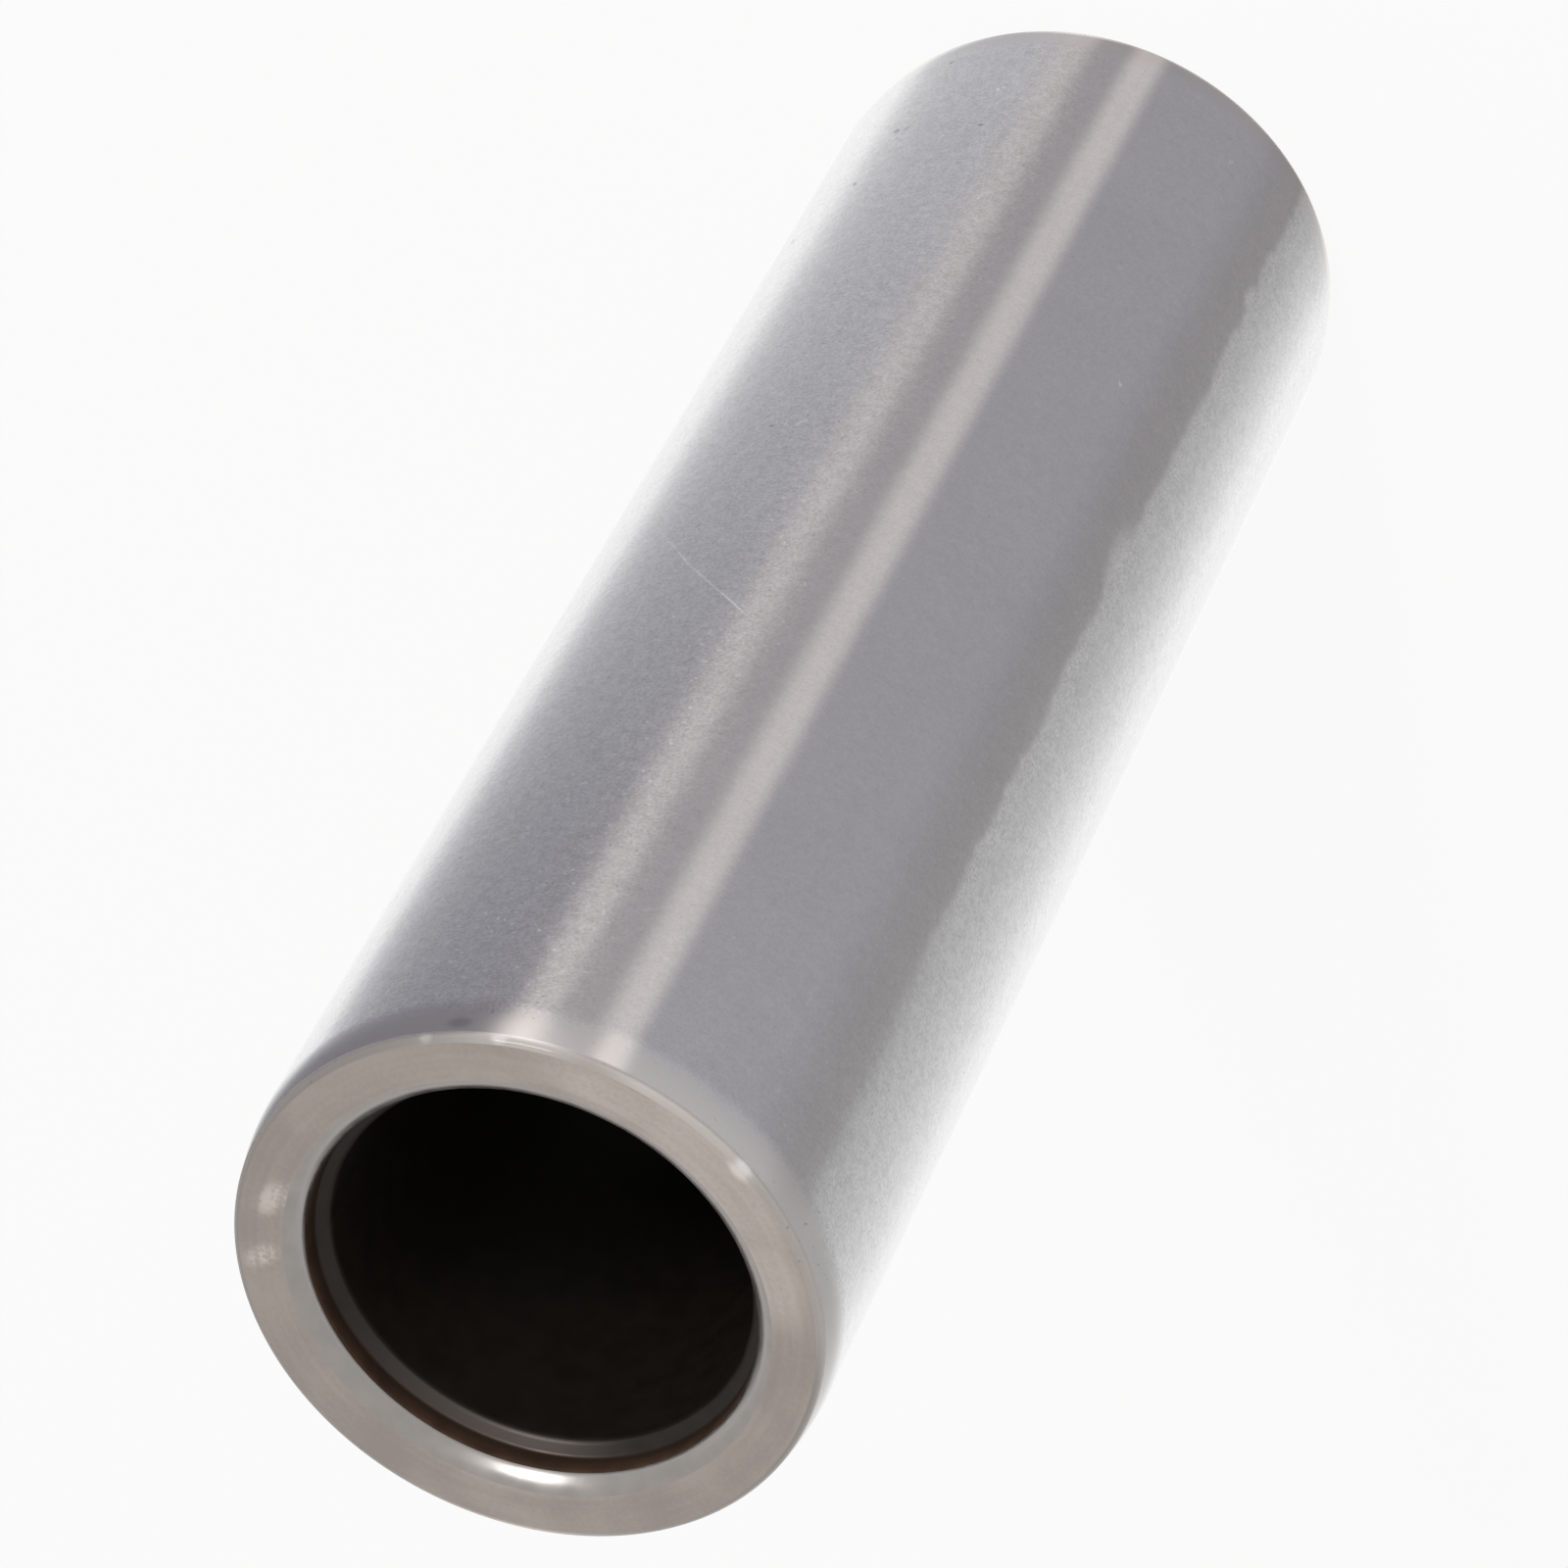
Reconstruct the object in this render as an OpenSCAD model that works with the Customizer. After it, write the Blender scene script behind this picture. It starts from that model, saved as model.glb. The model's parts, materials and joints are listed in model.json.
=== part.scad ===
// Gudgeon pin: the hollow hardened pin that joins a small engine's piston to
// its connecting rod. It is turned and ground from one piece of steel and
// stands on one end face, with its axis along +Z and both ends alike.

/* [Pin] */
// Outside diameter, ground to size
pin_d = 10; // [7:0.5:25]
// Length from end face to end face
pin_length = 33; // [15:1:80]
// Wall between the outside and the through bore
wall = 1.5; // [1.1:0.1:3]

/* [Outer edges] */
// Length of the shallow taper that leads each end into its seat
lead_in_length = 0.65; // [0.3:0.05:1.5]
// How far that taper drops below the outside at the end face, on the radius
lead_in_drop = 0.12; // [0.05:0.01:0.2]
// Radius of the polished corner between the taper and the end face
corner_radius = 0.1; // [0.04:0.02:0.2]

/* [Bore mouths] */
// How far each counterbore is opened beyond the bore, on the radius
counterbore_step = 0.25; // [0.1:0.05:0.4]
// Depth of each counterbore from its end face to the top of its shoulder
counterbore_depth = 0.62; // [0.4:0.02:3]
// Included angle of the shoulder cone where the counterbore meets the bore
shoulder_angle = 120; // [60:5:150]
// Width of the chamfer at each mouth, on the radius and along the axis
mouth_chamfer = 0.25; // [0.1:0.05:0.35]

/* [Hidden] */
$fn = 96;

pin_r = pin_d / 2;
bore_r = pin_r - wall;
counterbore_r = bore_r + counterbore_step;
mouth_r = counterbore_r + mouth_chamfer;
face_r = pin_r - lead_in_drop;
shoulder_length = counterbore_step / tan(shoulder_angle / 2);

// The taper leans in by this much from the axis
lead_in_angle = atan(lead_in_drop / lead_in_length);

// Centre of the corner's round, tangent to the end face and to the taper
corner_inset = corner_radius * tan((90 - lead_in_angle) / 2);
corner_centre = [face_r - corner_inset, corner_radius];

// Cuts run this far past the metal they take away
cut_past = 1;

// Section of the metal taken out of one mouth of the bore, end face at y = 0
module mouth_cut() {
    polygon([
        [bore_r - cut_past, -cut_past],
        [mouth_r, -cut_past],
        [mouth_r, 0],
        [counterbore_r, mouth_chamfer],
        [counterbore_r, counterbore_depth],
        [bore_r, counterbore_depth + shoulder_length],
        [bore_r - cut_past, counterbore_depth + shoulder_length]
    ]);
}

// Section of the metal taken off one outer edge: the taper and its corner
module edge_cut() {
    taper_reach = cut_past * tan(lead_in_angle);
    polygon([
        [pin_r, lead_in_length],
        [face_r - taper_reach, -cut_past],
        [pin_r + cut_past, -cut_past],
        [pin_r + cut_past, lead_in_length]
    ]);
    corner_cut();
}

// Sliver between the sharp corner and its round
module corner_cut() {
    on_taper = corner_centre + corner_radius * [cos(lead_in_angle), -sin(lead_in_angle)];
    difference() {
        polygon([
            [corner_centre[0], 0],
            [corner_centre[0], -cut_past],
            [pin_r + cut_past, -cut_past],
            [pin_r + cut_past, on_taper[1]],
            on_taper
        ]);
        translate(corner_centre) circle(corner_radius);
    }
}

// Section of the wall from end face to end face, on the side where x is positive
module wall_section() {
    difference() {
        translate([bore_r, 0]) square([wall, pin_length]);
        for (end = [0, 1]) {
            translate([0, end * pin_length]) mirror([0, end]) {
                mouth_cut();
                edge_cut();
            }
        }
    }
}

module gudgeon_pin() {
    color([0.62, 0.61, 0.62]) rotate_extrude() wall_section();
}

gudgeon_pin();
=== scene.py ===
import json
import math

import bmesh
import bpy
from mathutils import Matrix, Vector


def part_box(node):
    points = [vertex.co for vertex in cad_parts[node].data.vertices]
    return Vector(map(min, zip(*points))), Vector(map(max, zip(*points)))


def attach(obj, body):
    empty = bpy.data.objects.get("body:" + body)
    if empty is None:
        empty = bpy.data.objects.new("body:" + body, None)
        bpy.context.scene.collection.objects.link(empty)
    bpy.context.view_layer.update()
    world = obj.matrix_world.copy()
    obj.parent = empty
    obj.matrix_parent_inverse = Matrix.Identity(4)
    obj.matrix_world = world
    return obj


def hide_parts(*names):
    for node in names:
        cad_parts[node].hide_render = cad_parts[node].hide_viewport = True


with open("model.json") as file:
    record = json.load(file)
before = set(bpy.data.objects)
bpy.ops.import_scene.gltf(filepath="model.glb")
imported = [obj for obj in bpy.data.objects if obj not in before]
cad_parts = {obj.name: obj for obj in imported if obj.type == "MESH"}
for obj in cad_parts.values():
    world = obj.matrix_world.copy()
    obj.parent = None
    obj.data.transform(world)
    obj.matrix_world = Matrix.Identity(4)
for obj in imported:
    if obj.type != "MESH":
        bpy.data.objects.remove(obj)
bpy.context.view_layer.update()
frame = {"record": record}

bl_info = {
    "name": "Gudgeon pin",
    "version": (1, 0, 0),
    "blender": (4, 5, 0),
    "location": "3D View > Sidebar > Gudgeon pin",
    "description": "Builds a ground steel gudgeon pin and the small studio that it stands in",
    "category": "Object",
}

NODE = "gudgeon_pin"
MM = 0.001

FOOT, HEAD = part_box(NODE)
MIDDLE = (FOOT.z + HEAD.z) / 2
MOUNTS = {mount["name"]: mount for mount in frame["record"]["mounts"]}


def mount_radius(name):
    """Radius of one of the part's round mounts, in metres."""
    return MOUNTS[name]["dims"]["r_mm"] * MM


# Sizes and colours that a user may change


class PinSizes(bpy.types.PropertyGroup):
    """Section of the pin, from which it is spun."""

    length: bpy.props.FloatProperty(
        name="Length", description="From end face to end face",
        default=HEAD.z - FOOT.z, unit="LENGTH", precision=5)
    outside_radius: bpy.props.FloatProperty(
        name="Outside radius", description="Radius of the ground outside",
        default=mount_radius("outside"), unit="LENGTH", precision=5)
    bore_radius: bpy.props.FloatProperty(
        name="Bore radius", description="Radius of the through bore",
        default=mount_radius("bore"), unit="LENGTH", precision=5)
    lead_in_length: bpy.props.FloatProperty(
        name="Lead-in length", description="Length of the taper at each outer edge",
        default=0.65 * MM, unit="LENGTH", precision=5)
    lead_in_drop: bpy.props.FloatProperty(
        name="Lead-in drop", description="Drop of that taper at the end face, on the radius",
        default=0.12 * MM, unit="LENGTH", precision=5)
    corner_reach: bpy.props.FloatProperty(
        name="Corner reach", description="How far the rounded corner reaches along the end face",
        default=0.083 * MM, unit="LENGTH", precision=5)
    counterbore_step: bpy.props.FloatProperty(
        name="Counterbore step", description="Opening of each counterbore beyond the bore, on the radius",
        default=0.25 * MM, unit="LENGTH", precision=5)
    counterbore_depth: bpy.props.FloatProperty(
        name="Counterbore depth", description="From the end face to the top of the shoulder",
        default=0.62 * MM, unit="LENGTH", precision=5)
    shoulder_angle: bpy.props.FloatProperty(
        name="Shoulder angle", description="Included angle of the shoulder cone",
        default=math.radians(120), subtype="ANGLE")
    mouth_chamfer: bpy.props.FloatProperty(
        name="Mouth chamfer", description="Width of the chamfer at each mouth",
        default=0.25 * MM, unit="LENGTH", precision=5)
    lead_in_blend: bpy.props.FloatProperty(
        name="Lead-in blend", description="How far the taper is blended into the ground outside",
        default=0.28 * MM, unit="LENGTH", precision=5)
    mouth_blend: bpy.props.FloatProperty(
        name="Mouth blend", description="How far the mouth chamfer is blended into the end face",
        default=0.17 * MM, unit="LENGTH", precision=5)
    edge_reach: bpy.props.FloatProperty(
        name="Edge reach", description="How far the worn edges inside the mouth are rounded",
        default=0.10 * MM, unit="LENGTH", precision=5)
    spin_steps: bpy.props.IntProperty(
        name="Spin steps", description="Steps round the axis", default=288, min=24)


class PinFinish(bpy.types.PropertyGroup):
    """Colours of the steel."""

    ground: bpy.props.FloatVectorProperty(
        name="Ground steel", description="Ground outside",
        default=(0.84, 0.835, 0.845), size=3, subtype="COLOR", min=0, max=1)
    lead_in: bpy.props.FloatVectorProperty(
        name="Lead-in steel", description="Tapers at the outer edges",
        default=(0.84, 0.815, 0.80), size=3, subtype="COLOR", min=0, max=1)
    corner: bpy.props.FloatVectorProperty(
        name="Corner steel", description="Rounded corners between the tapers and the end faces",
        default=(0.725, 0.682, 0.653), size=3, subtype="COLOR", min=0, max=1)
    turned: bpy.props.FloatVectorProperty(
        name="Turned steel", description="End faces",
        default=(0.645, 0.577, 0.538), size=3, subtype="COLOR", min=0, max=1)
    polished: bpy.props.FloatVectorProperty(
        name="Polished steel", description="Chamfers at the mouths of the bore",
        default=(0.59, 0.56, 0.54), size=3, subtype="COLOR", min=0, max=1)
    brown_scale: bpy.props.FloatVectorProperty(
        name="Brown scale", description="Heat-treatment scale left in the counterbores",
        default=(0.110, 0.065, 0.043), size=3, subtype="COLOR", min=0, max=1)
    grey_scale: bpy.props.FloatVectorProperty(
        name="Grey scale", description="Thin scale on the shoulders of the counterbores",
        default=(0.052, 0.044, 0.040), size=3, subtype="COLOR", min=0, max=1)
    black_scale: bpy.props.FloatVectorProperty(
        name="Black scale", description="Heat-treatment scale left down the bore",
        default=(0.025, 0.020, 0.015), size=3, subtype="COLOR", min=0, max=1)


class StageSet(bpy.types.PropertyGroup):
    """Floor, room, lamp and camera."""

    floor_size: bpy.props.FloatProperty(
        name="Floor size", description="Half the width of the floor", default=1.5, unit="LENGTH")
    surroundings: bpy.props.FloatVectorProperty(
        name="Surroundings", description="Grey of the room that the metal mirrors",
        default=(0.50, 0.49, 0.48), size=3, subtype="COLOR", min=0, max=1)
    lamp_azimuth: bpy.props.FloatProperty(
        name="Lamp azimuth", description="Side that the lamp stands on, from +X",
        default=math.radians(-49), subtype="ANGLE")
    lamp_elevation: bpy.props.FloatProperty(
        name="Lamp elevation", description="Height of the lamp above the horizon",
        default=math.radians(39), subtype="ANGLE")
    lamp_distance: bpy.props.FloatProperty(
        name="Lamp distance", description="From the lamp to the middle of the pin",
        default=350 * MM, unit="LENGTH")
    lamp_width: bpy.props.FloatProperty(
        name="Lamp width", description="Level side of the lamp", default=100 * MM, unit="LENGTH")
    lamp_height: bpy.props.FloatProperty(
        name="Lamp height", description="Other side of the lamp", default=110 * MM, unit="LENGTH")
    lamp_power: bpy.props.FloatProperty(
        name="Lamp power", description="Power of the lamp", default=0.30, unit="POWER")
    lens: bpy.props.FloatProperty(
        name="Lens", description="Focal length on a 36 mm sensor, in millimetres", default=181.4)
    elevation: bpy.props.FloatProperty(
        name="Elevation", description="Height of the camera above the horizon",
        default=math.radians(51.665), subtype="ANGLE")
    roll: bpy.props.FloatProperty(
        name="Roll", description="Turn of the camera about its line of sight",
        default=math.radians(-151.653), subtype="ANGLE")
    distance: bpy.props.FloatProperty(
        name="Distance", description="From the camera to the point that it looks at",
        default=135.71 * MM, unit="LENGTH", precision=5)
    aim: bpy.props.FloatVectorProperty(
        name="Aim", description="Point that the camera looks at",
        default=(0.215 * MM, 0, 18.51 * MM), size=3, subtype="XYZ", unit="LENGTH", precision=5)


# Helpers for nodes and meshes


def add_node(tree, kind, inputs=None, **settings):
    """Adds a node. An input is a value, or a socket to link from."""
    node = tree.nodes.new(kind)
    for key, value in settings.items():
        setattr(node, key, value)
    for key, value in (inputs or {}).items():
        if isinstance(value, bpy.types.NodeSocket):
            tree.links.new(value, node.inputs[key])
        else:
            node.inputs[key].default_value = value
    return node


def bare_tree(owner):
    """The emptied node tree of a material or a world."""
    owner.use_nodes = True
    owner.node_tree.nodes.clear()
    return owner.node_tree


def new_steel(name):
    """An empty material with its Principled shader, as (material, tree, shader)."""
    material = bpy.data.materials.new(name)
    tree = bare_tree(material)
    shader = add_node(tree, "ShaderNodeBsdfPrincipled")
    add_node(tree, "ShaderNodeOutputMaterial", {"Surface": shader.outputs["BSDF"]})
    return material, tree, shader


def new_object(name, bm):
    """Puts a finished bmesh into a new object at the origin."""
    mesh = bpy.data.meshes.new(name)
    bm.to_mesh(mesh)
    bm.free()
    piece = bpy.data.objects.new(name, mesh)
    bpy.context.scene.collection.objects.link(piece)
    return piece


def combine(tree, operation, first, second):
    """Two numbers or sockets through one sum."""
    return add_node(tree, "ShaderNodeMath", {0: first, 1: second}, operation=operation).outputs[0]


def times(tree, first, *others):
    """Product of numbers and sockets."""
    for other in others:
        first = combine(tree, "MULTIPLY", first, other)
    return first


def most(tree, first, *others):
    """Greatest of numbers and sockets."""
    for other in others:
        first = combine(tree, "MAXIMUM", first, other)
    return first


def weighted(tree, *parts):
    """Sum of numbers and sockets, each with its weight."""
    total = 0.0
    for value, weight in parts:
        total = add_node(tree, "ShaderNodeMath", {0: value, 1: weight, 2: total},
                         operation="MULTIPLY_ADD").outputs[0]
    return total


def ease(tree, value, start, end, low=0.0, high=1.0):
    """Smooth rise from low to high while a value goes from start to end."""
    node = add_node(tree, "ShaderNodeMapRange", {
        "Value": value, "From Min": start, "From Max": end, "To Min": low, "To Max": high},
        interpolation_type="SMOOTHSTEP")
    return node.outputs["Result"]


def blend_colour(tree, share, first, second):
    """Colour between two others."""
    node = add_node(tree, "ShaderNodeMix", {"Factor": share, 6: first, 7: second}, data_type="RGBA")
    return node.outputs[2]


def shade(colour, share=1.0):
    """A colour made lighter or darker, for a colour socket."""
    return (*(min(1, part * share) for part in colour), 1)


# Finishes of the steel

# Values between which most of a noise lies
NOISE_RANGE = (0.3, 0.7)
# Where a mark fades, as shares of its half size: none of it is left at the first, all of it at the second
MARK_FADE = (1.0, 0.3)


def millimetres(tree, stretch=(1, 1, 1)):
    """Object coordinates in millimetres, stretched along each axis."""
    place = add_node(tree, "ShaderNodeTexCoord")
    scale = [share / MM for share in stretch]
    mapped = add_node(tree, "ShaderNodeMapping",
                      {"Vector": place.outputs["Object"], "Scale": scale})
    return mapped.outputs["Vector"]


def round_axis(tree):
    """Angle round the axis in degrees, distance from it and height, in millimetres."""
    split = add_node(tree, "ShaderNodeSeparateXYZ", {"Vector": millimetres(tree)})
    across, along, height = split.outputs
    turn = combine(tree, "DEGREES", combine(tree, "ARCTAN2", along, across), 0)
    flat = add_node(tree, "ShaderNodeCombineXYZ", {"X": across, "Y": along})
    radius = add_node(tree, "ShaderNodeVectorMath", {0: flat.outputs[0]}, operation="LENGTH")
    return turn, radius.outputs["Value"], height


def depth_from_end(tree, height):
    """How far a height lies from the nearer end face, in millimetres."""
    from_middle = combine(tree, "ABSOLUTE", combine(tree, "SUBTRACT", height, MIDDLE / MM), 0)
    return combine(tree, "SUBTRACT", (MIDDLE - FOOT.z) / MM, from_middle)


def noise(tree, place, detail=2.0):
    """Noise with about one feature to each unit of the place."""
    node = add_node(tree, "ShaderNodeTexNoise", {"Vector": place, "Scale": 1.0, "Detail": detail})
    return node.outputs["Fac"]


def even_noise(tree, fineness, detail=2.0):
    """Noise with that many features to the millimetre, alike along all axes."""
    return noise(tree, millimetres(tree, (fineness, fineness, fineness)), detail)


def lay_lines(tree, across, fineness, length):
    """Fine tool marks round the axis: they change fast across the lay and slowly along it."""
    along = 1 / length
    place = add_node(tree, "ShaderNodeSeparateXYZ", {"Vector": millimetres(tree, (along, along, along))})
    drawn = add_node(tree, "ShaderNodeCombineXYZ", {
        "X": place.outputs["X"], "Y": place.outputs["Y"], "Z": times(tree, across, fineness)})
    return noise(tree, drawn.outputs[0], detail=3.0)


def lay_round_axis(tree, shader, anisotropy):
    """Tool marks that run round the axis spread the gloss across them."""
    tangent = add_node(tree, "ShaderNodeTangent", direction_type="RADIAL", axis="Z")
    tree.links.new(tangent.outputs["Tangent"], shader.inputs["Tangent"])
    shader.inputs["Metallic"].default_value = 1.0
    shader.inputs["Anisotropic"].default_value = anisotropy
    shader.inputs["Anisotropic Rotation"].default_value = 0.25


def bump(tree, shader, height, depth):
    """Relief of the surface, with its depth in metres."""
    relief = add_node(tree, "ShaderNodeBump", {"Strength": 1.0, "Distance": depth, "Height": height})
    tree.links.new(relief.outputs["Normal"], shader.inputs["Normal"])


def mark(tree, flat, place, half_size, lean):
    """1 inside an oval on a flat map, 0 past its edge. Sizes in millimetres, lean in degrees."""
    mapped = add_node(tree, "ShaderNodeMapping", {
        "Vector": flat, "Location": (*place, 0), "Rotation": (0, 0, math.radians(lean)),
        "Scale": (*half_size, 1)}, vector_type="TEXTURE")
    reach = add_node(tree, "ShaderNodeVectorMath", {0: mapped.outputs[0]}, operation="LENGTH")
    return ease(tree, reach.outputs["Value"], *MARK_FADE)


def marks(tree, flat, places, strength=1.0):
    """All marks of a list as one mask."""
    total = 0.0
    for place, half_size, lean in places:
        total = most(tree, mark(tree, flat, place, half_size, lean), total)
    return times(tree, total, strength)


# Ground outside

# Features of its noises to the millimetre, and the grinding lines with their length in millimetres
GRAIN_FINENESS, FLECK_FINENESS, MOTTLE_FINENESS, CLOUD_FINENESS = 18, 11, 5, 0.4
LINE_FINENESS, LINE_LENGTH = 9.0, 4.0
# How the grain, the mottle and the lines share the speckle
GRAIN_SHARE, MOTTLE_SHARE, LINE_SHARE = 0.62, 0.30, 0.08
# How much the speckle and the clouds change the tone, and its middle, darkest and palest value
SPECKLE_GAIN, CLOUD_GAIN, MIDDLE_TONE = 4.4, 0.3, 0.35
DARKEST, PALEST = 0.86, 1.14
# The band that faces the camera lies in shade and gets less of the grain's painted sparkle: its middle
# angle, where its grain starts and is full, in degrees from there, and how much grain it keeps
SHADED_BAND = -100
GRAIN_EDGE = (22, 34)
BAND_GRAIN = 0.38
# Values of the flecks' noise between which bright and dark flecks set in, and how strong they get; the
# bright flecks are painted sparkle
BRIGHT_FLECKS, DARK_FLECKS = (0.72, 0.82, 0, 0.4), (0.22, 0.14, 0, 0.5)
# Values of the grain between which it breaks up scuffs and the painted reflection edge, and how much of
# that edge is broken up
GRAIN_BREAKS = (0.38, 0.56)
REFLECTION_BROKEN = 0.3
# Relief of the grain in metres, and how it is shared by grain and lines
GRAIN_DEPTH = 0.3e-6
GRAIN_RELIEF, LINE_RELIEF = 0.8, 0.2
# Where the tapers and corners set in, as shares of the taper's length and the corner's reach
TAPER_FADE, CORNER_FADE = (1.4, 0.6), (2.2, 0.7)
# Angles between which the corner is painted paler and duller, as light that falls on that side: it starts,
# falls to about half and ends
LIT_STARTS, LIT_HALVES, LIT_ENDS = (-78, -92), (-114, -121), (-150, -170)
HALF_LIT, LIT_CORNER_LIGHT = 0.55, 1.24

# Marks as (arc from +X, height), half sizes in millimetres and lean in degrees
SCRATCH = (
    ((-3.39, 18.13), (0.95, 0.030), 127),
    ((-3.96, 18.90), (0.65, 0.035), 126),
    ((-4.55, 19.61), (0.80, 0.030), 132),
    ((-5.29, 20.37), (0.85, 0.030), 136),
)
SCUFFS = (
    ((-4.29, 4.16), (0.28, 0.07), 70),
    ((-4.82, 2.60), (0.36, 0.06), 55),
    ((-4.77, 14.54), (0.13, 0.06), 30),
    ((-9.48, 1.90), (0.09, 0.06), 60),
    ((-9.55, 9.92), (0.12, 0.06), 120),
)
# Nicks whose glints are painted as pale, dull spots
NICK_GLINTS = (
    ((-5.50, 32.93), (0.20, 0.10), 0),
    ((-10.02, 32.96), (0.26, 0.12), 0),
)
FAINT_NICK_GLINTS = (((-4.24, 32.94), (0.16, 0.10), 0),)
SPECKS = (
    ((-3.04, 3.44), (0.15, 0.09), 120),
    ((-3.27, 3.50), (0.15, 0.04), 30),
    ((-3.45, 1.04), (0.08, 0.06), 0),
    ((-2.70, 5.20), (0.15, 0.06), 120),
    ((-1.48, 6.15), (0.22, 0.09), 120),
    ((-4.91, 3.90), (0.08, 0.06), 0),
    ((-4.20, 14.60), (0.08, 0.05), 0),
)
STAINS = (((-4.75, 32.66), (0.30, 0.16), 0),)
SCRATCH_STRENGTH, NICK_GLINT_STRENGTH, FAINT_STRENGTH, STAIN_STRENGTH = 0.7, 0.65, 0.35, 0.5
# How pale the nicks' painted glints are, and how strong and how dark the dark marks are
NICK_GLINT_LIGHT = 1.15
DARK_STRENGTH, DARK_SHADE = 0.7, 0.3

# Painted reflection along one side of the shaded band, a pale film with an uneven edge: the angle of its
# edge, and how many degrees that edge swings with a slow wander, a ripple and the grain
REFLECTION_EDGE, REFLECTION_WANDER, REFLECTION_RIPPLE, REFLECTION_GRAIN = -128.5, 8.0, 2.5, 5.0
WANDER_FINENESS, RIPPLE_FINENESS = 0.45, 2.6
# Softness of that edge, how far the film reaches past it and the paler rim along it, in degrees
REFLECTION_SOFT, REFLECTION_REACH, REFLECTION_RIM = (0.9, -0.9), (-8.0, -3.0), (1.2, 0.2)
REFLECTION_STRENGTH, RIM_STRENGTH = 0.75, 0.28
# Heights between which the film sets in, from the top down, and blots on it
REFLECTION_TOP = (29, 22)
REFLECTION_BLOTS = (((-11.2, 13.6), (0.45, 1.3), 6), ((-11.15, 4.4), (0.22, 0.5), 0))

# How much of the metal's mirror each mark takes away, and what each adds to the roughness
PALE_DULL, REFLECTION_DULL, NICK_GLINT_DULL, LIT_CORNER_DULL = 0.5, 0.5, 0.8, 0.42
GROUND_ROUGH, CLOUD_ROUGH, TAPER_ROUGH, CORNER_ROUGH = 0.135, 0.03, 0.08, 0.64
PALE_ROUGH, REFLECTION_ROUGH = 0.15, 0.10
# Thin clear film of oil over the whole outside
COAT_WEIGHT, COAT_ROUGHNESS = 0.8, 0.08


def ground_tone(tree, colour, sparkle_share, grain, lines, clouds):
    """Colour of the plain outside: its grain, mottle, lines and clouds, with the speckle's strength painted
    to follow where light sparkles on the grain.
    """
    mottle = even_noise(tree, MOTTLE_FINENESS)
    mixed = weighted(tree, (grain, GRAIN_SHARE), (mottle, MOTTLE_SHARE), (lines, LINE_SHARE))
    speckle = times(tree, combine(tree, "SUBTRACT", mixed, 0.5), sparkle_share)
    tone = weighted(tree, (speckle, SPECKLE_GAIN), (clouds, CLOUD_GAIN), (1.0, MIDDLE_TONE))
    return blend_colour(tree, tone, shade(colour, DARKEST), shade(colour, PALEST))


def lit_corner_stretch(tree, turn, corner):
    """Stretch of the corner painted paler, as light that falls on that side."""
    starts = ease(tree, turn, *LIT_STARTS)
    halves = ease(tree, turn, *LIT_HALVES, 1.0, HALF_LIT)
    ends = ease(tree, turn, *LIT_ENDS, 1.0, 0.0)
    return times(tree, starts, halves, ends, corner)


def pale_marks(tree, unrolled, broken, bright):
    """Scuffs broken up by the grain, the scratch and the bright flecks, which are painted sparkle."""
    scuffs = times(tree, marks(tree, unrolled, SCUFFS), broken)
    return most(tree, scuffs, marks(tree, unrolled, SCRATCH, SCRATCH_STRENGTH), bright)


def nick_glint_marks(tree, unrolled):
    """Nicks in the corner at the upper end, with their glints painted as pale, dull spots."""
    faint = marks(tree, unrolled, FAINT_NICK_GLINTS, FAINT_STRENGTH)
    return most(tree, marks(tree, unrolled, NICK_GLINTS, NICK_GLINT_STRENGTH), faint)


def dark_marks(tree, unrolled, few):
    """Specks, the stain and a few dark flecks."""
    return most(tree, marks(tree, unrolled, SPECKS), few, marks(tree, unrolled, STAINS, STAIN_STRENGTH))


def painted_reflection_edge(tree, turn, height, unrolled, grain):
    """A painted reflection: a pale film with an uneven edge that runs along the outside, and the paler rim
    of that edge.
    """
    wander = noise(tree, millimetres(tree, (0, 0, WANDER_FINENESS)))
    ripple = noise(tree, millimetres(tree, (0, 0, RIPPLE_FINENESS)))
    middle = -REFLECTION_EDGE - (REFLECTION_WANDER + REFLECTION_RIPPLE + REFLECTION_GRAIN) / 2
    past_edge = weighted(tree, (turn, 1.0), (wander, REFLECTION_WANDER), (ripple, REFLECTION_RIPPLE),
                         (grain, REFLECTION_GRAIN), (1.0, middle))
    pale_band = times(tree, ease(tree, past_edge, *REFLECTION_SOFT), ease(tree, past_edge, *REFLECTION_REACH))
    pale_band = most(tree, pale_band, marks(tree, unrolled, REFLECTION_BLOTS))
    rim = ease(tree, combine(tree, "ABSOLUTE", past_edge, 0), *REFLECTION_RIM)
    whole = weighted(tree, (pale_band, REFLECTION_STRENGTH), (rim, RIM_STRENGTH))
    return times(tree, whole, ease(tree, height, *REFLECTION_TOP))


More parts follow.
